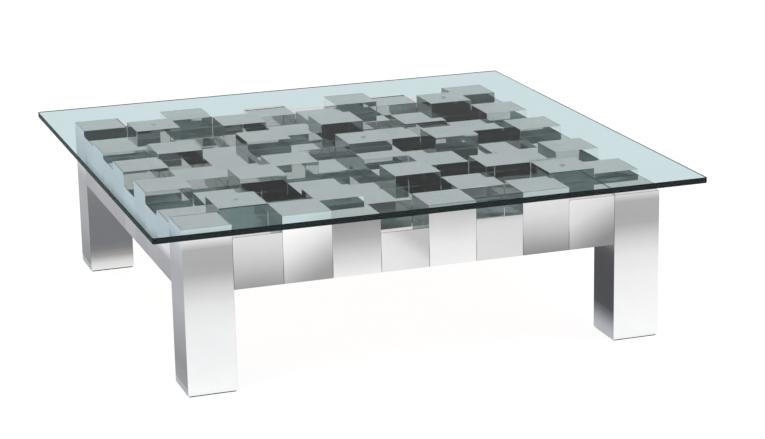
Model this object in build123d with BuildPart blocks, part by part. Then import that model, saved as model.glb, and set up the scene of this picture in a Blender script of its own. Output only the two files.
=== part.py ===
"""Square coffee table: a field of mirror-clad blocks of uneven height under a loose glass plate.

The origin is on the floor under the table's centre. X runs left to right along the front, Y runs
from the front to the back, Z is up, and every length is in millimetres. Blocks are counted by
column from the left and by row from the front, both from 0, and the four corner blocks are the
tops of the legs.
"""

import os

from build123d import *

os.makedirs("parts", exist_ok=True)

INCH = 25.4

# Driving dimensions
BASE_SIDE = 42 * INCH  # the clad base, square in plan
GLASS_SIDE = 48 * INCH
GLASS_THICKNESS = INCH / 2
BLOCKS = 10  # along each side of the base
BLOCK_TOP = 14.0625 * INCH  # floor to the top of the tallest blocks
STEP = INCH / 4  # block tops differ by whole steps
APRON_BOTTOM = 8.6875 * INCH
DECK_TOP = BLOCK_TOP - 3.625 * INCH
DECK_THICKNESS = 0.75 * INCH
RAIL_THICKNESS = 0.75 * INCH
BRACE_WIDTH = 1.5 * INCH
SHEET = 1.0  # mirror-polished steel sheet
JOINT_GAP = 0.4  # open joint between neighbouring claddings
RETURN = 12.0  # sheet turned under the apron rails
BUMPER_HEIGHT = INCH / 16
BUMPER_RADIUS = INCH / 4
BUMPER_BEVEL = 0.5
PAD_THICKNESS = INCH / 8
PAD_INSET = 3.0  # foot pad edge back from the leg's face
GLASS_CORNER = 5.0
GLASS_BEVEL = 0.9

# Fasteners
SCREW_RADIUS = 2.1
SCREW_HEAD_RADIUS = 4.1
SCREW_TIP = 4.0
BLOCK_SCREW_LENGTH = 1.25 * INCH
FRAME_SCREW_LENGTH = 1.5 * INCH
BOLT_RADIUS = 5 / 32 * INCH
BOLT_LENGTH = 3.25 * INCH
BOLT_HEAD_RADIUS = INCH / 4  # across the flats
BOLT_HEAD_HEIGHT = 5.3
BOLT_BEVEL = 1.0
WASHER_RADIUS = 9.5
WASHER_THICKNESS = 1.6
NAIL_RADIUS = 1.2
NAIL_HEAD_RADIUS = 3.0
NAIL_HEAD_HEIGHT = 1.0
NAIL_SINK = 1.6  # underside of the nail's head above the floor
NAIL_LENGTH = 19.0
NAIL_EDGE = 18.0  # nail centres in from the foot pad's edges
FREE_FIT = 0.4  # radial room of a bolt in the brace and the sleeve
CLOSE_FIT = 0.05  # radial room of a fastener in its pilot hole
DRILL_ROOM = 1.0  # pilot holes run on past the fastener's tip

# Steps down from the level of the tallest blocks to each block's top: the back row first, each
# row from left to right.
STEPS_DOWN = [
    [2, 4, 1, 5, 3, 5, 1, 3, 5, 2],
    [4, 0, 5, 1, 7, 2, 5, 7, 0, 4],
    [3, 7, 9, 7, 3, 0, 8, 3, 10, 2],
    [5, 1, 5, 0, 5, 11, 4, 8, 4, 5],
    [2, 8, 4, 3, 8, 0, 11, 1, 11, 1],
    [7, 3, 4, 1, 5, 2, 5, 6, 5, 4],
    [1, 7, 0, 7, 8, 4, 2, 9, 4, 2],
    [5, 3, 10, 3, 6, 0, 9, 0, 6, 6],
    [3, 0, 6, 1, 4, 9, 2, 7, 0, 2],
    [1, 4, 0, 3, 8, 2, 7, 1, 4, 4],
]

# Blocks of the tallest level that carry a bumper: (column, row)
BUMPER_CELLS = [(1, 1), (8, 1), (5, 5), (1, 8), (8, 8)]

# Derived dimensions
PITCH = BASE_SIDE / BLOCKS
CLAD = PITCH - JOINT_GAP  # outer side of a cap or a leg sleeve
CORE = CLAD - 2 * SHEET  # side of the wood inside it
WOOD_FACE = BASE_SIDE / 2 - JOINT_GAP / 2 - SHEET  # outer face of the deck and the rails
LEG_LINE = BASE_SIDE / 2 - PITCH  # where the legs' cells begin
LEG_FACE = LEG_LINE + JOINT_GAP / 2  # inner faces of the leg sleeves
LEG_CENTRE = LEG_LINE + PITCH / 2
DECK_BOTTOM = DECK_TOP - DECK_THICKNESS
RAIL_BOTTOM = APRON_BOTTOM + SHEET
RAIL_HEIGHT = DECK_BOTTOM - RAIL_BOTTOM
RAIL_CENTRE = WOOD_FACE - RAIL_THICKNESS / 2
BRACE_FACE = LEG_FACE - BRACE_WIDTH  # where the bolts' washers sit
BRACE_MIDDLE = LEG_FACE - BRACE_WIDTH / 2
BRACE_END = WOOD_FACE - RAIL_THICKNESS  # the brace's arms end on the rails
BRACE_SCREW_END = BRACE_END - 10
BOLT_LEVEL = RAIL_BOTTOM + RAIL_HEIGHT / 2
GLASS_BOTTOM = BLOCK_TOP + BUMPER_HEIGHT
PAD_SIDE = CLAD - 2 * PAD_INSET
NAIL_SPACING = PAD_SIDE - 2 * NAIL_EDGE

BACK = Vector(0, 1, 0)
RIGHT = Vector(1, 0, 0)
UP = Vector(0, 0, 1)
CORNERS = {
    "front_left": (-1, -1),
    "front_right": (1, -1),
    "back_left": (-1, 1),
    "back_right": (1, 1),
}
RAILS = {
    "front": (0, -RAIL_CENTRE),
    "back": (0, RAIL_CENTRE),
    "left": (-RAIL_CENTRE, 0),
    "right": (RAIL_CENTRE, 0),
}


def write(piece, name):
    """Label a finished piece and write it as its own STEP file."""
    piece.part.label = name
    export_step(piece.part, f"parts/{name}.step")


def centre(cell):
    """Centre of a block's cell along X or Y."""
    return (cell + 0.5) * PITCH - BASE_SIDE / 2


def top_of(column, row):
    """Height of a block's top above the floor."""
    return BLOCK_TOP - STEPS_DOWN[BLOCKS - 1 - row][column] * STEP


def columns_of(row):
    """Columns of the free blocks in a row: the corner blocks belong to the legs."""
    return range(1, BLOCKS - 1) if row in (0, BLOCKS - 1) else range(BLOCKS)


def outer_sides(column, row):
    """Directions in which a block's face is part of the apron."""
    found = []
    if row == 0:
        found.append(-BACK)
    if row == BLOCKS - 1:
        found.append(BACK)
    if column == 0:
        found.append(-RIGHT)
    if column == BLOCKS - 1:
        found.append(RIGHT)
    return found


def upright(x, y, outward):
    """A vertical plane whose local x points outward and whose local y points up."""
    return Plane(origin=(x, y, 0), x_dir=outward, z_dir=outward.cross(UP))


def from_below(x, y, z):
    """A plane for a fastener driven upward: heads are at its positive side."""
    return Plane(origin=(x, y, z), x_dir=RIGHT, z_dir=-UP)


def from_above(x, y, z):
    """A plane for a fastener driven downward."""
    return Plane(origin=(x, y, z))


def leg_bolt_planes(sx, sy):
    """Where the two bolts of a leg enter its corner brace, looking out of the brace."""
    return [
        Plane(origin=(sx * BRACE_FACE, sy * LEG_CENTRE, BOLT_LEVEL), x_dir=BACK, z_dir=-sx * RIGHT),
        Plane(origin=(sx * LEG_CENTRE, sy * BRACE_FACE, BOLT_LEVEL), x_dir=RIGHT, z_dir=-sy * BACK),
    ]


def rail_screws(x, y):
    """Screws down through the deck into the rail whose middle is at x, y."""
    along = (-3 * PITCH, -PITCH, PITCH, 3 * PITCH)
    return [from_above(x, place, DECK_TOP) if x else from_above(place, y, DECK_TOP) for place in along]


def brace_screws(sx, sy, z):
    """Screws up through a corner brace into the deck, seen at height z."""
    places = (
        (BRACE_MIDDLE, BRACE_MIDDLE),
        (BRACE_MIDDLE, BRACE_SCREW_END),
        (BRACE_SCREW_END, BRACE_MIDDLE),
    )
    return [from_below(sx * u, sy * v, z) for u, v in places]


def pad_nails(sx, sy, z):
    """Nails up through a foot pad into the leg, seen at height z."""
    half = NAIL_SPACING / 2
    return [
        from_below(sx * LEG_CENTRE + u, sy * LEG_CENTRE + v, z)
        for u in (-half, half)
        for v in (-half, half)
    ]


# Glass top: a loose plate with ground edges.
with BuildPart() as glass_top:
    with BuildSketch(Plane.XY.offset(GLASS_BOTTOM)):
        RectangleRounded(GLASS_SIDE, GLASS_SIDE, GLASS_CORNER)
    extrude(amount=GLASS_THICKNESS)
    chamfer(glass_top.faces().filter_by(Axis.Z).edges(), length=GLASS_BEVEL)
write(glass_top, "glass_top")

# Bumpers: clear soft discs that carry the glass.
with BuildPart() as bumpers:
    for column, row in BUMPER_CELLS:
        with BuildSketch(Plane(origin=(centre(column), centre(row), BLOCK_TOP))):
            Circle(BUMPER_RADIUS)
        extrude(amount=BUMPER_HEIGHT)
    chamfer(bumpers.faces().sort_by(Axis.Z)[-len(BUMPER_CELLS):].edges(), length=BUMPER_BEVEL)
write(bumpers, "glass_bumpers")

# Free blocks, one row at a time: a wooden core screwed down on the deck, and its mirror cap. At
# the table's edges the cap's outer wall runs on down as the apron facing.
for row in range(BLOCKS):
    with BuildPart() as cores:
        for column in columns_of(row):
            with BuildSketch(Plane(origin=(centre(column), centre(row), DECK_TOP))):
                Rectangle(CORE, CORE)
            extrude(amount=top_of(column, row) - SHEET - DECK_TOP)
            with Locations(from_below(centre(column), centre(row), DECK_TOP)):
                Hole(SCREW_RADIUS + CLOSE_FIT, depth=BLOCK_SCREW_LENGTH - DECK_THICKNESS + DRILL_ROOM)
    write(cores, f"block_cores_row_{row + 1}")

    with BuildPart() as caps:
        for column in columns_of(row):
            with BuildSketch(Plane(origin=(centre(column), centre(row), DECK_TOP))):
                Rectangle(CLAD, CLAD)
            extrude(amount=top_of(column, row) - DECK_TOP)
            with BuildSketch(Plane(origin=(centre(column), centre(row), DECK_TOP))):
                Rectangle(CORE, CORE)
            extrude(amount=top_of(column, row) - SHEET - DECK_TOP, mode=Mode.SUBTRACT)
            for side in outer_sides(column, row):
                with BuildSketch(upright(centre(column), centre(row), side)):
                    with BuildLine():
                        Polyline(
                            (CLAD / 2, DECK_TOP),
                            (CLAD / 2, APRON_BOTTOM),
                            (CLAD / 2 - RETURN, APRON_BOTTOM),
                            (CLAD / 2 - RETURN, RAIL_BOTTOM),
                            (CORE / 2, RAIL_BOTTOM),
                            (CORE / 2, DECK_TOP),
                            close=True,
                        )
                    make_face()
                extrude(amount=CLAD / 2, both=True)
    write(caps, f"mirror_caps_row_{row + 1}")

# Deck: one panel, notched around the legs, drilled for the screws of blocks, rails and braces.
block_screw_planes = [
    from_below(centre(column), centre(row), DECK_BOTTOM)
    for row in range(BLOCKS)
    for column in columns_of(row)
]
rail_screw_planes = [plane for x, y in RAILS.values() for plane in rail_screws(x, y)]
with BuildPart() as deck:
    with BuildSketch(Plane.XY.offset(DECK_BOTTOM)):
        Rectangle(2 * WOOD_FACE, 2 * WOOD_FACE)
        with GridLocations(2 * LEG_CENTRE, 2 * LEG_CENTRE, 2, 2):
            Rectangle(PITCH, PITCH, mode=Mode.SUBTRACT)
    extrude(amount=DECK_THICKNESS)
    with Locations(*block_screw_planes, *rail_screw_planes):
        CounterSinkHole(
            SCREW_RADIUS + CLOSE_FIT,
            SCREW_HEAD_RADIUS + CLOSE_FIT,
            depth=DECK_THICKNESS,
            counter_sink_angle=90,
        )
    for sx, sy in CORNERS.values():
        with Locations(*brace_screws(sx, sy, DECK_BOTTOM)):
            Hole(SCREW_RADIUS + CLOSE_FIT, depth=FRAME_SCREW_LENGTH - RAIL_HEIGHT + DRILL_ROOM)
write(deck, "deck_panel")

# Apron rails: between the legs, under the deck's edges.
for name, (x, y) in RAILS.items():
    with BuildPart() as rail:
        with BuildSketch(Plane(origin=(x, y, RAIL_BOTTOM))):
            if x:
                Rectangle(RAIL_THICKNESS, 2 * LEG_LINE)
            else:
                Rectangle(2 * LEG_LINE, RAIL_THICKNESS)
        extrude(amount=RAIL_HEIGHT)
        with Locations(*[plane.offset(-DECK_THICKNESS) for plane in rail_screws(x, y)]):
            Hole(SCREW_RADIUS + CLOSE_FIT, depth=FRAME_SCREW_LENGTH - DECK_THICKNESS + DRILL_ROOM)
    write(rail, f"apron_rail_{name}")

# Legs: a wooden post with a folded mirror sleeve, a corner brace under the deck and a foot pad.
for name, (sx, sy) in CORNERS.items():
    leg_top = top_of(0 if sx < 0 else BLOCKS - 1, 0 if sy < 0 else BLOCKS - 1)

    with BuildPart() as post:
        with BuildSketch(Plane(origin=(sx * LEG_CENTRE, sy * LEG_CENTRE, PAD_THICKNESS))):
            Rectangle(CORE, CORE)
        extrude(amount=leg_top - SHEET - PAD_THICKNESS)
        with Locations(*[plane.offset(-BRACE_WIDTH - SHEET) for plane in leg_bolt_planes(sx, sy)]):
            Hole(
                BOLT_RADIUS + CLOSE_FIT,
                depth=BOLT_LENGTH - WASHER_THICKNESS - BRACE_WIDTH - SHEET + DRILL_ROOM,
            )
        with Locations(*pad_nails(sx, sy, PAD_THICKNESS)):
            Hole(NAIL_RADIUS + CLOSE_FIT, depth=NAIL_LENGTH + NAIL_SINK - PAD_THICKNESS + DRILL_ROOM)
    write(post, f"leg_core_{name}")

    with BuildPart() as sleeve:
        with BuildSketch(Plane(origin=(sx * LEG_CENTRE, sy * LEG_CENTRE, PAD_THICKNESS))):
            Rectangle(CLAD, CLAD)
            Rectangle(CORE, CORE, mode=Mode.SUBTRACT)
        extrude(amount=leg_top - PAD_THICKNESS)
        with Locations(*[plane.offset(-BRACE_WIDTH) for plane in leg_bolt_planes(sx, sy)]):
            Hole(BOLT_RADIUS + FREE_FIT, depth=2 * SHEET)
    write(sleeve, f"leg_sleeve_{name}")

    with BuildPart() as brace:
        with BuildSketch(Plane.XY.offset(RAIL_BOTTOM)):
            with BuildLine():
                Polyline(
                    (sx * BRACE_FACE, sy * BRACE_FACE),
                    (sx * BRACE_END, sy * BRACE_FACE),
                    (sx * BRACE_END, sy * LEG_FACE),
                    (sx * LEG_FACE, sy * LEG_FACE),
                    (sx * LEG_FACE, sy * BRACE_END),
                    (sx * BRACE_FACE, sy * BRACE_END),
                    close=True,
                )
            make_face()
        extrude(amount=RAIL_HEIGHT)
        with Locations(*leg_bolt_planes(sx, sy)):
            Hole(BOLT_RADIUS + FREE_FIT, depth=BRACE_WIDTH)
        with Locations(*brace_screws(sx, sy, RAIL_BOTTOM)):
            CounterSinkHole(
                SCREW_RADIUS + CLOSE_FIT,
                SCREW_HEAD_RADIUS + CLOSE_FIT,
                depth=RAIL_HEIGHT,
                counter_sink_angle=90,
            )
    write(brace, f"corner_brace_{name}")

    with BuildPart() as pad:
        with BuildSketch(Plane(origin=(sx * LEG_CENTRE, sy * LEG_CENTRE, 0))):
            Rectangle(PAD_SIDE, PAD_SIDE)
        extrude(amount=PAD_THICKNESS)
        with Locations(*pad_nails(sx, sy, 0)):
            CounterBoreHole(
                NAIL_RADIUS + CLOSE_FIT,
                NAIL_HEAD_RADIUS + CLOSE_FIT,
                counter_bore_depth=NAIL_SINK,
                depth=PAD_THICKNESS,
            )
    write(pad, f"foot_pad_{name}")

# Top plates of the corner blocks, inside the upper ends of the leg sleeves.
with BuildPart() as top_plates:
    for sx, sy in CORNERS.values():
        leg_top = top_of(0 if sx < 0 else BLOCKS - 1, 0 if sy < 0 else BLOCKS - 1)
        with BuildSketch(Plane(origin=(sx * LEG_CENTRE, sy * LEG_CENTRE, leg_top - SHEET))):
            Rectangle(CORE, CORE)
        extrude(amount=SHEET)
write(top_plates, "corner_top_plates")


def countersunk_screw(length):
    """One screw along -Z with its flat head's face at Z = 0."""
    with BuildPart() as screw:
        with BuildSketch(Plane.XZ):
            with BuildLine():
                Polyline(
                    (0, 0),
                    (SCREW_HEAD_RADIUS, 0),
                    (SCREW_RADIUS, SCREW_RADIUS - SCREW_HEAD_RADIUS),
                    (SCREW_RADIUS, SCREW_TIP - length),
                    (0, -length),
                    close=True,
                )
            make_face()
        revolve(axis=Axis.Z)
    return screw.part


# Screws that hold the blocks, the rails and the braces to the deck.
with BuildPart() as block_screws:
    with Locations(*block_screw_planes):
        add(countersunk_screw(BLOCK_SCREW_LENGTH))
write(block_screws, "block_screws")

with BuildPart() as deck_screws:
    with Locations(*rail_screw_planes):
        add(countersunk_screw(FRAME_SCREW_LENGTH))
write(deck_screws, "deck_screws")

with BuildPart() as brace_screw_group:
    for sx, sy in CORNERS.values():
        with Locations(*brace_screws(sx, sy, RAIL_BOTTOM)):
            add(countersunk_screw(FRAME_SCREW_LENGTH))
write(brace_screw_group, "brace_screws")

# Hexagon bolts through the braces into the legs, with their washers.
with BuildPart() as bolt:
    with BuildSketch():
        RegularPolygon(BOLT_HEAD_RADIUS, side_count=6, major_radius=False)
    extrude(amount=BOLT_HEAD_HEIGHT)
    with BuildSketch():
        Circle(BOLT_RADIUS)
    extrude(amount=-BOLT_LENGTH)
    chamfer(bolt.faces().sort_by(Axis.Z)[0].edges(), length=BOLT_BEVEL)

with BuildPart() as washer:
    with BuildSketch():
        Circle(WASHER_RADIUS)
        Circle(BOLT_RADIUS + FREE_FIT, mode=Mode.SUBTRACT)
    extrude(amount=WASHER_THICKNESS)

with BuildPart() as leg_bolts:
    for sx, sy in CORNERS.values():
        with Locations(*[plane.offset(WASHER_THICKNESS) for plane in leg_bolt_planes(sx, sy)]):
            add(bolt.part)
write(leg_bolts, "leg_bolts")

with BuildPart() as leg_washers:
    for sx, sy in CORNERS.values():
        with Locations(*leg_bolt_planes(sx, sy)):
            add(washer.part)
write(leg_washers, "leg_washers")

# Nails that hold the foot pads, their heads sunk clear of the floor.
with BuildPart() as nail:
    with BuildSketch():
        Circle(NAIL_HEAD_RADIUS)
    extrude(amount=NAIL_HEAD_HEIGHT)
    with BuildSketch():
        Circle(NAIL_RADIUS)
    extrude(amount=-NAIL_LENGTH)

with BuildPart() as foot_pad_nails:
    for sx, sy in CORNERS.values():
        with Locations(*pad_nails(sx, sy, NAIL_SINK)):
            add(nail.part)
write(foot_pad_nails, "foot_pad_nails")
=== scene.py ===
import math
import random

import bmesh
import bpy
from mathutils import Matrix, Vector


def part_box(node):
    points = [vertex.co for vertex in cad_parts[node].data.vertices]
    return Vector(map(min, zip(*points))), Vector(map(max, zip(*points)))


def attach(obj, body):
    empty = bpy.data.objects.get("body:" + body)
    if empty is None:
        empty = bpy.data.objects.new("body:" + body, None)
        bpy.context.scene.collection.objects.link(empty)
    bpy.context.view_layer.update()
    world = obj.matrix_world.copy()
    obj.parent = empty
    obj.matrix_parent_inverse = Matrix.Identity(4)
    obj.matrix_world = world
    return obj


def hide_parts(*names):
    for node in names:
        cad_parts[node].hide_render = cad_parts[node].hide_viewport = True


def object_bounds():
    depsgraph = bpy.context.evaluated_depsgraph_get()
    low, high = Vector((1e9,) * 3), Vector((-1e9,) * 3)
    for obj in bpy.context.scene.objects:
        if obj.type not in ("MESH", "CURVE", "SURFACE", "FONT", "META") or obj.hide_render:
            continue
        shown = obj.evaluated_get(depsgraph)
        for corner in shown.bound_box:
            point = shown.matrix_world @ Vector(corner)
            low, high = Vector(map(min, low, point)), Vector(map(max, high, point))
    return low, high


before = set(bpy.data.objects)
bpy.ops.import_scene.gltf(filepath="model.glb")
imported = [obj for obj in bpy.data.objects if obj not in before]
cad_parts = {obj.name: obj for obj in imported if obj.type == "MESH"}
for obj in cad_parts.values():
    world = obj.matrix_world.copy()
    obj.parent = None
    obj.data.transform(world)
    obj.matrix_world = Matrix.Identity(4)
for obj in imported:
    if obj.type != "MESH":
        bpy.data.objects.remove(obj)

cad_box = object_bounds()
random.seed(11)
MM = 0.001

# Sizes, from the frame ----------------------------------------------------------------------------

BLOCKS = 10
LAST = BLOCKS - 1
SHEET = 1 * MM
sleeve_low, sleeve_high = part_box("leg_sleeve_front_left")
CLAD = sleeve_high.x - sleeve_low.x  # side of a block or a leg with its cladding
PITCH = (-2 * sleeve_low.x - CLAD) / LAST
SLEEVE_BOTTOM = sleeve_low.z
BLOCK_TOP = max(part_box(f"mirror_caps_row_{row + 1}")[1].z for row in range(BLOCKS))
APRON_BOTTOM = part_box("mirror_caps_row_5")[0].z
DECK_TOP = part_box("deck_panel")[1].z
FLOOR = cad_box[0].z

EDGE = 0.7 * MM  # radius of the folded sheet at upright edges
RIM = 0.55 * MM  # radius round a block's top
RETURN = 12 * MM  # sheet turned under the apron rails
BOW = 0.1 * MM  # most that a panel bulges or dishes
LEAN = 0.0015  # steepest slope of a block's top

SKIN = 0.9 * SHEET  # modelled thickness, a little clear of the wood
PLIES = 7  # in the deck and the rails

# Mesh detail: a ring of points runs round a block, and rings are stacked from its bottom to its top.
CORNER_STEPS = 2
RIM_STEPS = 3
SIDE_POINTS = 5
RING_SIDE = CORNER_STEPS + 1 + SIDE_POINTS  # points from one corner of a ring to the next
BLOCK_LEVELS = 5  # rings up a block's wall
LEG_LEVELS = 21  # rings up a leg, which is taller and changes its painted reflection more
FACING_LEVELS = 7  # steps down an apron facing
TOP_SHARES = (0.9, 0.6, 0.3)  # of the top's half width, where its inner rings are
SIDES = ("back", "left", "front", "right")  # in the order that a ring passes them
OUTWARD = {"back": (0, 1), "left": (-1, 0), "front": (0, -1), "right": (1, 0)}


def centre(cell):
    """Middle of a row or column of blocks, along X or Y."""
    return (cell + 0.5 - BLOCKS / 2) * PITCH


def block_tops():
    """Height of every block, by (column, row), read from the frame's caps and top plates."""
    found = {}
    caps = [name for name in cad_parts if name.startswith("mirror_caps_row_")]
    for name in caps + ["corner_top_plates"]:
        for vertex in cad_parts[name].data.vertices:
            cell = tuple(round(axis / PITCH + BLOCKS / 2 - 0.5) for axis in vertex.co[:2])
            found[cell] = max(found.get(cell, FLOOR), vertex.co.z)
    return found


TOPS = block_tops()

# Painted reflection and shade on the mirror sheets ------------------------------------------------
# Painted reflection and shade: grey levels dim the outer sheets from bright to dull, standing in for
# the floor and the studio seen in them. A grey level runs from 0 to 255, listed from the bottom of a
# panel to its top. The levels were set to match grey levels measured at points in the photograph,
# where they are partly reflection. Facings are numbered by column, from the left as seen from outside.

FACING_PAINTED_REFLECTION = {
    1: (158, 196, 214, 232),
    2: (158, 202, 232, 255),
    3: (240, 207, 172, 140),
    4: (230, 222, 190, 190),
    5: (242, 233, 214, 180),
    6: (220, 218, 214, 140),
    7: (143, 192, 216, 230),
    8: (142, 188, 220, 235),
}
FACING_HEIGHTS = (0, 0.35, 0.6, 1)  # 0 at the apron's bottom, 1 at the tallest tops
FACING_SLANT = {2: -0.2, 4: 0.3, 8: -0.2}  # how far the painted reflection slopes across the panel
SIDE_HEIGHTS = (0, 0.35, 0.45, 1)
SIDE_PAINTED_REFLECTION = (164, 172, 222, 232)  # painted reflection on the facings on the left and right
SIDE_SHIFT = 6  # most that one of them is brighter or duller
SIDE_SLANT = 0.05

# Painted reflection and shade on the legs, as grey levels at these heights: the dark runs on the inner
# faces stand in for the shade under the table seen in them.
LEG_HEIGHTS = (0, 0.06, 0.12, 0.18, 0.3, 0.42, 0.55, 0.65, 0.75, 0.9, 0.95)  # 1 at the tallest tops
LEG_FRONT = (255, 253, 250, 247, 243, 240, 229, 206, 171, 176, 250)
LEG_SIDE = {
    "front": (138, 156, 150, 143, 155, 165, 174, 172, 168, 192, 234),
    "back": (120, 136, 134, 141, 155, 160, 162, 160, 205, 222, 234),
}
LEG_INNER_FRONT = (246, 222, 142, 124, 124, 126, 132, 150, 160, 160, 160)
LEG_INNER_SIDE = (190, 186, 150, 97, 95, 95, 98, 150, 160, 160, 160)


def between(heights, values, height):
    """Value at a height, on straight runs between the given ones."""
    if height <= heights[0]:
        return values[0]
    for low, high, start, end in zip(heights, heights[1:], values, values[1:]):
        if height <= high:
            return start + (end - start) * (height - low) / (high - low)
    return values[-1]


WHITE_LEVEL = 255
DISPLAY_GAMMA = 2.2


def painted_light_share(grey):
    """Share of the light that a grey level of painted reflection stands for."""
    return (grey / WHITE_LEVEL) ** DISPLAY_GAMMA


def facing_painted_reflection(side, column):
    """Function that gives the painted reflection of an apron facing, from across it (-1 to 1) and a height.
    """
    if side in ("front", "back"):
        number = column if side == "front" else LAST - column
        heights, painted_reflections, slant = FACING_HEIGHTS, FACING_PAINTED_REFLECTION[number], FACING_SLANT.get(number, 0)
    else:
        shift = random.uniform(-SIDE_SHIFT, SIDE_SHIFT)
        heights, painted_reflections = SIDE_HEIGHTS, [painted_reflection + shift for painted_reflection in SIDE_PAINTED_REFLECTION]
        slant = random.uniform(-SIDE_SLANT, SIDE_SLANT)

    def painted_reflection(across, z):
        height = (z - APRON_BOTTOM) / (BLOCK_TOP - APRON_BOTTOM)
        return painted_light_share(between(heights, painted_reflections, height + slant * across))

    return painted_reflection


def leg_painted_reflection(side, outer, row):
    """Function that gives the painted reflection and shade of one face of a leg."""
    if side in ("front", "back"):
        painted_reflections = LEG_FRONT if outer else LEG_INNER_FRONT
    elif outer:
        painted_reflections = LEG_SIDE["front" if row == 0 else "back"]
    else:
        painted_reflections = LEG_INNER_SIDE
    return lambda across, z: painted_light_share(between(LEG_HEIGHTS, painted_reflections, z / BLOCK_TOP))


# Mirror sheet -------------------------------------------------------------------------------------


def ring(x, y, half, radius):
    """Points round a square with rounded corners; sides_at gives each one's side and how far along it it
    is.
    """
    points = []
    straight = half - radius
    for number, (sx, sy) in enumerate(((1, 1), (-1, 1), (-1, -1), (1, -1))):
        for step in range(CORNER_STEPS + 1):
            angle = math.radians(90 * (number + step / CORNER_STEPS))
            points.append((x + sx * straight + radius * math.cos(angle),
                           y + sy * straight + radius * math.sin(angle)))
        side = OUTWARD[SIDES[number]]
        along = (-side[1], side[0])
        for step in range(1, SIDE_POINTS + 1):
            across = straight * (2 * step / (SIDE_POINTS + 1) - 1)
            points.append((x + side[0] * half + along[0] * across,
                           y + side[1] * half + along[1] * across))
    return points


def sides_at(index):
    """The side or two sides of a ring that a point belongs to, each with -1 to 1 across it."""
    number, place = divmod(index, RING_SIDE)
    before = SIDES[number - 1]
    here = SIDES[number]
    if place == 0:
        return [(before, 1)]
    if place < CORNER_STEPS:
        return [(before, 1), (here, -1)]
    return [(here, 2 * (place - CORNER_STEPS) / (SIDE_POINTS + 1) - 1)]


def add_ring(mesh, points, height_at, painted_reflection_at):
    """Adds one ring of vertices and returns it."""
    layer = mesh.verts.layers.float["painted_reflection"]
    made = []
    for index, (x, y) in enumerate(points):
        z = height_at(x, y)
        vertex = mesh.verts.new((x, y, z))
        # painted reflection, averaged where a point is on two sides
        shares = [painted_reflection_at(side, across, z) for side, across in sides_at(index)]
        vertex[layer] = sum(shares) / len(shares)
        made.append(vertex)
    return made


def join_rings(mesh, low, high, rounded=False):
    """Faces between two rings, marked where the sheet is bent."""
    bent = mesh.faces.layers.int["bent"]
    for index in range(len(low)):
        after = (index + 1) % len(low)
        face = mesh.faces.new((low[index], low[after], high[after], high[index]))
        face[bent] = rounded or index % RING_SIDE < CORNER_STEPS


def bowed(points, x, y, amount, bows):
    """Ring points pushed in or out by each side's bow."""
    moved = []
    for index, (px, py) in enumerate(points):
        side, across = sides_at(index)[0]
        push = bows[side] * amount * (1 - across * across)
        moved.append((px + OUTWARD[side][0] * push, py + OUTWARD[side][1] * push))
    return moved


def add_block(mesh, cell, bottom, levels, painted_reflections):
    """Adds the skin of one block or leg: four walls, a rounded rim and a very slightly bowed top.

    Returns the lowest ring.
    """
    x, y = centre(cell[0]), centre(cell[1])
    top = TOPS[cell]
    slope = [random.uniform(-LEAN, LEAN) for _ in range(2)]
    bows = {side: random.uniform(-BOW, BOW) for side in SIDES}
    dome = random.uniform(-BOW, BOW)

    # painted reflection of each side; 1, nothing painted, where a side has none
    def painted_reflection_at(side, across, z):
        return painted_reflections[side](across, z) if side in painted_reflections else 1.0

    def leaning(height):
        return lambda px, py: height + slope[0] * (px - x) + slope[1] * (py - y)

    def level_at(height):
        return lambda px, py: height

    wall = ring(x, y, CLAD / 2, EDGE)
    rings = []
    for level in range(levels):
        share = level / (levels - 1)
        height = bottom + (top - RIM - bottom) * share
        placed = bowed(wall, x, y, math.sin(math.pi * share), bows)
        height_at = leaning(height) if level == levels - 1 else level_at(height)
        rings.append(add_ring(mesh, placed, height_at, painted_reflection_at))
    for step in range(1, RIM_STEPS + 1):
        angle = math.radians(90 * step / RIM_STEPS)
        inset = RIM * (1 - math.cos(angle))
        points = ring(x, y, CLAD / 2 - inset, EDGE - inset)
        rings.append(add_ring(mesh, points, leaning(top - RIM * (1 - math.sin(angle))), painted_reflection_at))
    for share in TOP_SHARES:
        points = ring(x, y, (CLAD / 2 - RIM) * share, (EDGE - RIM) * share)
        height = top + dome * (1 - share * share)
        rings.append(add_ring(mesh, points, leaning(height), lambda side, across, z: 1.0))
    for number, (low, high) in enumerate(zip(rings, rings[1:])):
        join_rings(mesh, low, high, levels - 1 <= number < levels - 1 + RIM_STEPS)
    mesh.faces.new(rings[-1])
    return rings[0]


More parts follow.
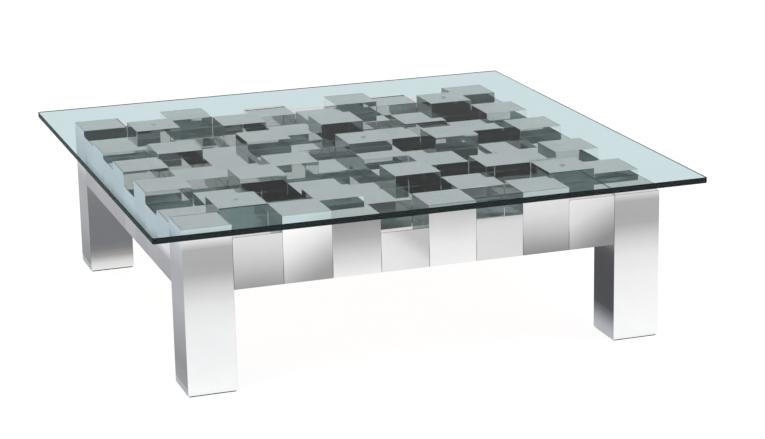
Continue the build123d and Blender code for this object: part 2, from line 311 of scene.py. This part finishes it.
def add_facing(mesh, cell, side, lower_ring, painted_reflection):
    """Carries a block's outer wall down over the apron and turns it under the rail."""
    layer = mesh.verts.layers.float["painted_reflection"]
    bent = mesh.faces.layers.int["bent"]
    out = Vector((*OUTWARD[side], 0))
    points = ring(centre(cell[0]), centre(cell[1]), CLAD / 2, EDGE)
    first = SIDES.index(side) * RING_SIDE + 1  # half way round the corner before the side
    width = SIDE_POINTS + CORNER_STEPS + 2
    places = [(first + step) % len(points) for step in range(width)]
    shares = [max(-1, min(1, 2 * (step - 1) / (SIDE_POINTS + 1) - 1)) for step in range(width)]
    bow = random.uniform(-BOW, BOW)
    drop = DECK_TOP - APRON_BOTTOM - EDGE
    profile = []
    for step in range(1, FACING_LEVELS + 1):
        share = step / FACING_LEVELS
        profile.append((bow * math.sin(math.pi * share), DECK_TOP - drop * share))
    for step in range(1, RIM_STEPS + 1):
        angle = math.radians(90 * step / RIM_STEPS)
        profile.append((-EDGE * (1 - math.cos(angle)), APRON_BOTTOM + EDGE * (1 - math.sin(angle))))
    profile.append((-RETURN, APRON_BOTTOM))
    upper = [lower_ring[place] for place in places]
    for number, (push, z) in enumerate(profile):
        lower = []
        for place, across in zip(places, shares):
            bulge = push * (1 - across * across) if number < FACING_LEVELS else push
            vertex = mesh.verts.new(Vector((*points[place], z)) + out * bulge)
            # painted reflection down the facing
            vertex[layer] = painted_reflection(across, z)
            lower.append(vertex)
        for step in range(width - 1):
            face = mesh.faces.new((upper[step], lower[step], lower[step + 1], upper[step + 1]))
            fold = FACING_LEVELS <= number < FACING_LEVELS + RIM_STEPS
            face[bent] = step in (0, width - 2) or fold
        upper = lower


def outer_sides(column, row):
    """Sides of a block that are on the outside of the table."""
    edges = {"left": column == 0, "right": column == LAST, "front": row == 0, "back": row == LAST}
    return [side for side, outer in edges.items() if outer]


def finished(mesh, name, material):
    """Turns a bmesh into an object with the sheet's thickness and clean shading."""
    bent = mesh.faces.layers.int["bent"]
    for face in mesh.faces:
        face.smooth = True
    for edge in mesh.edges:
        edge.smooth = len({face[bent] for face in edge.link_faces}) == 1
    data = bpy.data.meshes.new(name)
    mesh.to_mesh(data)
    mesh.free()
    data.materials.append(material)
    piece = bpy.data.objects.new(name, data)
    bpy.context.scene.collection.objects.link(piece)
    sheet = piece.modifiers.new("sheet", "SOLIDIFY")
    sheet.thickness = SKIN
    sheet.offset = -1
    sheet.use_even_offset = True
    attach(piece, "base")
    return piece


def new_sheet():
    """Empty bmesh whose vertices carry a painted reflection level, and whose faces say if the sheet is bent
    there.
    """
    mesh = bmesh.new()
    mesh.faces.layers.int.new("bent")
    mesh.verts.layers.float.new("painted_reflection")
    return mesh


def mirror_row(row, material):
    """The clad blocks of one row, with the apron facings that hang from them."""
    mesh = new_sheet()
    corner_row = row in (0, LAST)
    for column in range(1, LAST) if corner_row else range(BLOCKS):
        outer = outer_sides(column, row)
        # painted reflection on each outer side
        painted_reflections = {side: facing_painted_reflection(side, column) for side in outer}
        lowest = add_block(mesh, (column, row), DECK_TOP, BLOCK_LEVELS, painted_reflections)
        for side in outer:
            add_facing(mesh, (column, row), side, lowest, painted_reflections[side])
    piece = finished(mesh, f"mirror_blocks_row_{row + 1}", material)
    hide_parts(f"mirror_caps_row_{row + 1}")


def mirror_leg(column, row, material):
    """A leg's sleeve and the top of the block above it."""
    place = ("front" if row == 0 else "back") + "_" + ("left" if column == 0 else "right")
    outer = outer_sides(column, row)
    mesh = new_sheet()
    # painted reflection and shade on every face of the leg
    painted_reflections = {side: leg_painted_reflection(side, side in outer, row) for side in SIDES}
    add_block(mesh, (column, row), SLEEVE_BOTTOM, LEG_LEVELS, painted_reflections)
    piece = finished(mesh, f"mirror_leg_{place}", material)
    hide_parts(f"leg_sleeve_{place}", "corner_top_plates")


# Materials ----------------------------------------------------------------------------------------


def new_tree(name):
    """New material and its empty node tree with an output."""
    material = bpy.data.materials.new(name)
    material.use_nodes = True
    tree = material.node_tree
    tree.nodes.clear()
    output = tree.nodes.new("ShaderNodeOutputMaterial")
    return material, tree, output


def node(tree, kind, settings=(), **sockets):
    """Adds a shader node. Each socket is given a value, or another node's output to link."""
    made = tree.nodes.new("ShaderNode" + kind)
    for name, value in dict(settings).items():
        setattr(made, name, value)
    for name, value in sockets.items():
        plug(tree, made.inputs[name.replace("_", " ")], value)
    return made


def plug(tree, socket, value):
    """Sets a socket's value or links an output to it."""
    if isinstance(value, bpy.types.NodeSocket):
        tree.links.new(value, socket)
    else:
        socket.default_value = value


def calculate(tree, operation, *values):
    """Output of a Math node."""
    made = tree.nodes.new("ShaderNodeMath")
    made.operation = operation
    for socket, value in zip(made.inputs, values):
        plug(tree, socket, value)
    return made.outputs[0]


def vector_math(tree, operation, first, second):
    """Vector Math node on two vectors."""
    made = node(tree, "VectorMath", {"operation": operation})
    plug(tree, made.inputs[0], first)
    plug(tree, made.inputs[1], second)
    return made


def spread(tree, value, low, high, start=0.0, end=1.0, smooth=False):
    """Output of a Map Range node, from low..high to start..end."""
    made = node(tree, "MapRange", {"interpolation_type": "SMOOTHSTEP" if smooth else "LINEAR"},
                Value=value, From_Min=low, From_Max=high, To_Min=start, To_Max=end)
    return made.outputs["Result"]


def mixed(tree, factor, first, second):
    """Colour output of a Mix node."""
    made = tree.nodes.new("ShaderNodeMix")
    made.data_type = "RGBA"
    for index, value in ((0, factor), (6, first), (7, second)):
        plug(tree, made.inputs[index], value)
    return made.outputs[2]


def shader_mix(tree, factor, first, second):
    """Mix Shader node between two shader nodes."""
    made = node(tree, "MixShader")
    for socket, value in zip(made.inputs, (factor, first.outputs[0], second.outputs[0])):
        plug(tree, socket, value)
    return made


def noise(tree, scale, stretch=(1, 1, 1), detail=3.0, roughness=0.5):
    """Output of a noise texture on object coordinates, with scale in features a metre."""
    place = node(tree, "TexCoord")
    mapping = node(tree, "Mapping", Vector=place.outputs["Object"], Scale=stretch)
    texture = node(tree, "TexNoise", Vector=mapping.outputs[0], Scale=scale, Detail=detail,
                   Roughness=roughness)
    return texture.outputs[0]


def bump(tree, height, distance):
    """Normal output of a bump node, with its distance in metres."""
    return node(tree, "Bump", Height=height, Distance=distance, Strength=1.0).outputs[0]


def normal_part(tree, axis):
    """One coordinate of the surface's outward direction."""
    normal = node(tree, "NewGeometry").outputs["Normal"]
    return node(tree, "SeparateXYZ", Vector=normal).outputs[axis]


UNDIMMED = 0.98  # share of the light from which a sheet counts as not dimmed
GRAZING_POWER = 0.36  # of the painted reflection's level, how much it also dims reflections at grazing angles


def steel_mirror():
    """Polished sheet steel: slow waves left by rolling and buffing, faint haze and fine wipe marks.

    The painted reflection on the mesh dims the outer sheets, at grazing angles too. Those that face left
    or right are a little bluer, a painted cold reflection, and so is the dullest sheet on any side, to
    match the photograph.
    """
    material, tree, output = new_tree("mirror_polished_steel")
    # painted reflection and shade, read from the mesh's vertices
    painted_reflection = node(tree, "Attribute", {"attribute_name": "painted_reflection"}).outputs["Fac"]
    haze = noise(tree, 14, detail=6, roughness=0.62)
    wipes = noise(tree, 60, stretch=(1, 1, 9), detail=4)
    clean = spread(tree, haze, 0.3, 0.75, 1.0, 0.955)
    # painted cold reflection: dimmed sheets facing left or right, and the dullest sheets, turn bluer
    sideways = calculate(tree, "ABSOLUTE", normal_part(tree, "X"))
    painted_blue_reflection = calculate(tree, "MULTIPLY", sideways, calculate(tree, "LESS_THAN", painted_reflection, UNDIMMED))
    painted_blue_reflection = calculate(tree, "MAXIMUM", painted_blue_reflection, spread(tree, painted_reflection, 0.28, 0.2))
    tint = mixed(tree, painted_blue_reflection, (0.935, 0.932, 0.925, 1), (0.89, 0.925, 1.0, 1))
    colour = node(tree, "VectorMath", {"operation": "SCALE"}, Vector=tint,
                  Scale=calculate(tree, "MULTIPLY", painted_reflection, clean))
    marks = calculate(tree, "MULTIPLY_ADD", wipes, 0.35, haze)
    waves = bump(tree, noise(tree, 7, detail=2, roughness=0.4), 0.2 * MM)
    shader = node(tree, "BsdfPrincipled", Base_Color=colour.outputs[0], Metallic=1.0,
                  Roughness=spread(tree, marks, 0.45, 0.95, 0.01, 0.045), Normal=waves,
                  Specular_Tint=calculate(tree, "POWER", painted_reflection, GRAZING_POWER))
    tree.links.new(shader.outputs[0], output.inputs["Surface"])
    return material


def clear_glass():
    """Float glass with a green body colour and little reflection, as through a polarising filter.

    The ground edges reflect a little more. Shadow and diffuse rays pass straight through.
    """
    material, tree, output = new_tree("green_float_glass")
    ripple = bump(tree, noise(tree, 5, detail=1), 0.02 * MM)
    through = node(tree, "BsdfRefraction", Color=(1, 1, 1, 1), Roughness=0.0, IOR=1.52, Normal=ripple)
    off = node(tree, "BsdfAnisotropic", Color=(0.55, 0.74, 0.75, 1), Roughness=0.01, Normal=ripple)
    upward = calculate(tree, "ABSOLUTE", normal_part(tree, "Z"))
    edge = spread(tree, upward, 0.5, 0.95, 0.035, 0.0)
    gloss = calculate(tree, "MAXIMUM", edge, node(tree, "Fresnel", IOR=1.055).outputs[0])
    surface = shader_mix(tree, gloss, through, off)
    path = node(tree, "LightPath")
    passing = calculate(tree, "MAXIMUM", path.outputs["Is Shadow Ray"], path.outputs["Is Diffuse Ray"])
    whole = shader_mix(tree, passing, surface, node(tree, "BsdfTransparent"))
    tree.links.new(whole.outputs[0], output.inputs["Surface"])
    body = node(tree, "VolumeAbsorption", Color=(0.08, 0.385, 0.4, 1), Density=38.7)
    tree.links.new(body.outputs[0], output.inputs["Volume"])
    return material


def clear_vinyl():
    """Soft clear bumper, pressed flat, so that it hardly shows against the mirror and the glass."""
    material, tree, output = new_tree("clear_vinyl")
    dimples = bump(tree, noise(tree, 900, detail=1), 0.01 * MM)
    dust = noise(tree, 400, detail=2)
    shader = node(tree, "BsdfPrincipled", Base_Color=(0.9, 0.93, 0.93, 1), Alpha=0.1,
                  Roughness=spread(tree, dust, 0.3, 0.7, 0.1, 0.3), Normal=dimples)
    tree.links.new(shader.outputs[0], output.inputs["Surface"])
    return material


GRAIN_STRETCH = 0.06


def across_grain(along):
    """Mapping scale that draws a noise out along one axis."""
    return tuple(GRAIN_STRETCH if axis == along else 1 for axis in range(3))


def softwood(name, along):
    """Planed pine with its grain along one axis: soft bands, darker late wood and fine fibres."""
    material, tree, output = new_tree(name)
    bands = noise(tree, 38, across_grain(along), detail=2, roughness=0.4)
    fibres = noise(tree, 420, across_grain(along), detail=4, roughness=0.6)
    board = noise(tree, 4, across_grain(along), detail=1)
    colour = mixed(tree, spread(tree, bands, 0.42, 0.62), (0.60, 0.42, 0.23, 1), (0.42, 0.25, 0.115, 1))
    colour = mixed(tree, spread(tree, fibres, 0.3, 0.8, 0, 0.35), colour, (0.30, 0.17, 0.08, 1))
    colour = mixed(tree, spread(tree, board, 0.35, 0.65, 0, 0.3), colour, (0.70, 0.52, 0.31, 1))
    relief = calculate(tree, "MULTIPLY_ADD", fibres, 0.5, bands)
    shader = node(tree, "BsdfPrincipled", Base_Color=colour, Normal=bump(tree, relief, 0.25 * MM),
                  Roughness=spread(tree, fibres, 0.3, 0.7, 0.5, 0.68))
    tree.links.new(shader.outputs[0], output.inputs["Surface"])
    return material


PLY_SPREAD = 1.02  # keeps the outermost glue lines off the faces


def plywood(name, thickness_axis, node_name):
    """Birch plywood: grained faces, and on the edges light and dark plies with thin glue lines."""
    material, tree, output = new_tree(name)
    low, high = (corner["XYZ".index(thickness_axis)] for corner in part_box(node_name))
    middle = (low + high) / 2
    half_ply = PLY_SPREAD * (high - low) / PLIES / 2
    place = node(tree, "TexCoord").outputs["Object"]
    depth = node(tree, "SeparateXYZ", Vector=place).outputs[thickness_axis]
    turn = spread(tree, depth, middle - half_ply, middle + half_ply, 0, math.pi)
    turn.node.clamp = False
    wave = calculate(tree, "SINE", turn)  # goes through zero at each glue line
    along = 1 if thickness_axis == "X" else 0
    grain = noise(tree, 55, across_grain(along), detail=5, roughness=0.6)
    figure = noise(tree, 7, across_grain(along), detail=2)
    colour = mixed(tree, spread(tree, wave, -0.1, 0.1), (0.50, 0.34, 0.19, 1), (0.66, 0.50, 0.31, 1))
    glue = spread(tree, calculate(tree, "ABSOLUTE", wave), 0.06, 0.14, 1, 0)
    colour = mixed(tree, glue, colour, (0.16, 0.09, 0.05, 1))
    colour = mixed(tree, spread(tree, grain, 0.35, 0.75, 0, 0.45), colour, (0.40, 0.26, 0.14, 1))
    colour = mixed(tree, spread(tree, figure, 0.35, 0.7, 0, 0.25), colour, (0.76, 0.62, 0.42, 1))
    shader = node(tree, "BsdfPrincipled", Base_Color=colour, Normal=bump(tree, grain, 0.15 * MM),
                  Roughness=spread(tree, grain, 0.3, 0.7, 0.48, 0.65))
    tree.links.new(shader.outputs[0], output.inputs["Surface"])
    return material


def black_plastic():
    """Moulded foot pad: fine texture, scuffed a little."""
    material, tree, output = new_tree("black_moulded_plastic")
    grain = noise(tree, 1500, detail=2)
    scuffs = noise(tree, 90, stretch=(1, 0.2, 1), detail=5, roughness=0.65)
    worn = spread(tree, scuffs, 0.55, 0.8, 0, 0.5)
    colour = mixed(tree, worn, (0.018, 0.018, 0.019, 1), (0.075, 0.073, 0.07, 1))
    shader = node(tree, "BsdfPrincipled", Base_Color=colour, Normal=bump(tree, grain, 0.05 * MM),
                  Roughness=spread(tree, scuffs, 0.4, 0.7, 0.42, 0.6))
    tree.links.new(shader.outputs[0], output.inputs["Surface"])
    return material


def zinc_steel():
    """Zinc-plated screws, bolts, washers and nails: bright grey with a cloudy, faintly blue finish."""
    material, tree, output = new_tree("zinc_plated_steel")
    cloud = noise(tree, 260, detail=4, roughness=0.6)
    turned = noise(tree, 900, stretch=(1, 1, 0.15), detail=2)
    colour = mixed(tree, spread(tree, cloud, 0.35, 0.7), (0.60, 0.61, 0.63, 1), (0.50, 0.52, 0.57, 1))
    shader = node(tree, "BsdfPrincipled", Base_Color=colour, Metallic=1.0,
                  Roughness=spread(tree, cloud, 0.3, 0.7, 0.24, 0.42), Normal=bump(tree, turned, 0.03 * MM))
    tree.links.new(shader.outputs[0], output.inputs["Surface"])
    return material


def coat(start, material):
    """Gives a material to every CAD node whose name starts so."""
    for name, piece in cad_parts.items():
        if name.startswith(start):
            piece.data.materials.clear()
            piece.data.materials.append(material)


# Studio -------------------------------------------------------------------------------------------


FLOOR_HALF = 30  # metres from the middle to an edge
FLOOR_CELLS = 8


def floor():
    """Plain white floor, which glows a little so that it stays white in the table's shade."""
    material, tree, output = new_tree("studio_floor")
    cloud = noise(tree, 0.8, detail=2)
    grey = mixed(tree, cloud, (0.26, 0.26, 0.26, 1), (0.3, 0.3, 0.3, 1))
    matte = node(tree, "BsdfPrincipled", Base_Color=grey, Roughness=0.9, Specular_IOR_Level=0.0,
                 Emission_Color=(0.985, 1, 1.02, 1), Emission_Strength=0.88)
    tree.links.new(matte.outputs[0], output.inputs["Surface"])
    mesh = bmesh.new()
    bmesh.ops.create_grid(mesh, x_segments=FLOOR_CELLS, y_segments=FLOOR_CELLS, size=FLOOR_HALF)
    bmesh.ops.translate(mesh, vec=(0, 0, FLOOR), verts=mesh.verts)
    data = bpy.data.meshes.new("floor")
    mesh.to_mesh(data)
    mesh.free()
    data.materials.append(material)
    plane = bpy.data.objects.new("floor", data)
    bpy.context.scene.collection.objects.link(plane)


BANKS = (  # direction round the table in degrees, inner and outer half width, colour
    (158, 8, 50, (1.38, 1.06, 1.06)),
    (62, 12, 30, (0.9, 0.9, 0.9)),
    (285, 18, 40, (0.85, 0.85, 0.85)),
)
GAP_LIGHT = (0.07, 0.6)  # between the banks, from its darkest to its brightest streaks
CEILING = (48, 62)  # degrees above the horizon, where the ceiling's light starts and is full
OVERHEAD = (1.05, 1.05, 1.05, 1)
WHITE = (1, 1, 1, 1)


def studio_light():
    """Soft light all round: a bright ceiling, and tall soft boxes with dark gaps between them."""
    world = bpy.data.worlds.new("studio")
    bpy.context.scene.world = world
    world.use_nodes = True
    tree = world.node_tree
    tree.nodes.clear()
    direction = node(tree, "TexCoord").outputs["Generated"]

    mapping = node(tree, "Mapping", Vector=direction, Scale=(1, 1, 9))
    clutter = node(tree, "TexNoise", Vector=mapping.outputs[0], Scale=14.0, Detail=5.0, Roughness=0.6)
    dim = spread(tree, clutter.outputs[0], 0.42, 0.72, *GAP_LIGHT)
    light = node(tree, "CombineColor", Red=dim, Green=dim, Blue=dim).outputs[0]

    flattened = vector_math(tree, "MULTIPLY", direction, (1, 1, 0)).outputs[0]
    level = node(tree, "VectorMath", {"operation": "NORMALIZE"}, Vector=flattened).outputs[0]
    for azimuth, inner, outer, colour in BANKS:
        angle = math.radians(azimuth)
        toward = (math.sin(angle), -math.cos(angle), 0)
        facing = vector_math(tree, "DOT_PRODUCT", level, toward).outputs["Value"]
        share = spread(tree, facing, math.cos(math.radians(outer)), math.cos(math.radians(inner)),
                       smooth=True)
        light = mixed(tree, share, light, (*colour, 1))

    height = node(tree, "SeparateXYZ", Vector=direction).outputs["Z"]
    start, full = (math.sin(math.radians(angle)) for angle in CEILING)
    light = mixed(tree, spread(tree, height, start, full, smooth=True), light, OVERHEAD)

    path = node(tree, "LightPath")
    bounced = calculate(tree, "SUBTRACT", path.outputs["Ray Depth"], path.outputs["Transmission Depth"])
    seen = calculate(tree, "LESS_THAN", bounced, 0.5)  # the backdrop, also through the glass
    light = mixed(tree, seen, light, WHITE)
    background = node(tree, "Background", Color=light, Strength=1.0)
    output = node(tree, "OutputWorld")
    tree.links.new(background.outputs[0], output.inputs["Surface"])


CAMERA_PLACE = (-1.5366, -4.7502, 1.5847)
CAMERA_TURN = math.radians(18.92)  # to the right of straight along +Y
CAMERA_DIP = math.radians(15.61)
CAMERA_ROLL = math.radians(-1.08)
CAMERA_SHIFT = (-0.00705, -0.0030)
LENS = 104.617
SENSOR = 36
FARTHEST = 100  # metres, beyond the edge of the floor


def camera():
    """Long lens from the front and a little to the left."""
    ahead = Vector((math.sin(CAMERA_TURN) * math.cos(CAMERA_DIP),
                    math.cos(CAMERA_TURN) * math.cos(CAMERA_DIP),
                    -math.sin(CAMERA_DIP)))
    level = Vector((math.cos(CAMERA_TURN), -math.sin(CAMERA_TURN), 0))
    upright = level.cross(ahead)
    right = level * math.cos(CAMERA_ROLL) + upright * math.sin(CAMERA_ROLL)
    up = upright * math.cos(CAMERA_ROLL) - level * math.sin(CAMERA_ROLL)
    data = bpy.data.cameras.new("camera")
    data.lens = LENS
    data.sensor_width = SENSOR
    data.shift_x, data.shift_y = CAMERA_SHIFT
    data.clip_end = FARTHEST
    view = bpy.data.objects.new("camera", data)
    turn = Matrix((right, up, -ahead)).transposed()
    view.matrix_world = Matrix.Translation(CAMERA_PLACE) @ turn.to_4x4()
    bpy.context.scene.collection.objects.link(view)
    bpy.context.scene.camera = view
    bpy.context.scene.view_settings.view_transform = "Standard"


# Build --------------------------------------------------------------------------------------------

mirror = steel_mirror()
for row in range(BLOCKS):
    mirror_row(row, mirror)
for row in (0, LAST):
    for column in (0, LAST):
        mirror_leg(column, row, mirror)

coat("glass_top", clear_glass())
coat("glass_bumpers", clear_vinyl())
coat("block_cores_row_", softwood("pine_along_the_row", 0))
coat("leg_core_", softwood("pine_upright", 2))
coat("corner_brace_", softwood("pine_braces", 0))
coat("deck_panel", plywood("plywood_deck", "Z", "deck_panel"))
for side, axis in (("front", "Y"), ("back", "Y"), ("left", "X"), ("right", "X")):
    coat(f"apron_rail_{side}", plywood(f"plywood_rail_{side}", axis, f"apron_rail_{side}"))
coat("foot_pad_", black_plastic())
zinc = zinc_steel()
for kind in ("block_screws", "deck_screws", "brace_screws", "leg_bolts", "leg_washers", "foot_pad_nails"):
    coat(kind, zinc)

floor()
studio_light()
camera()
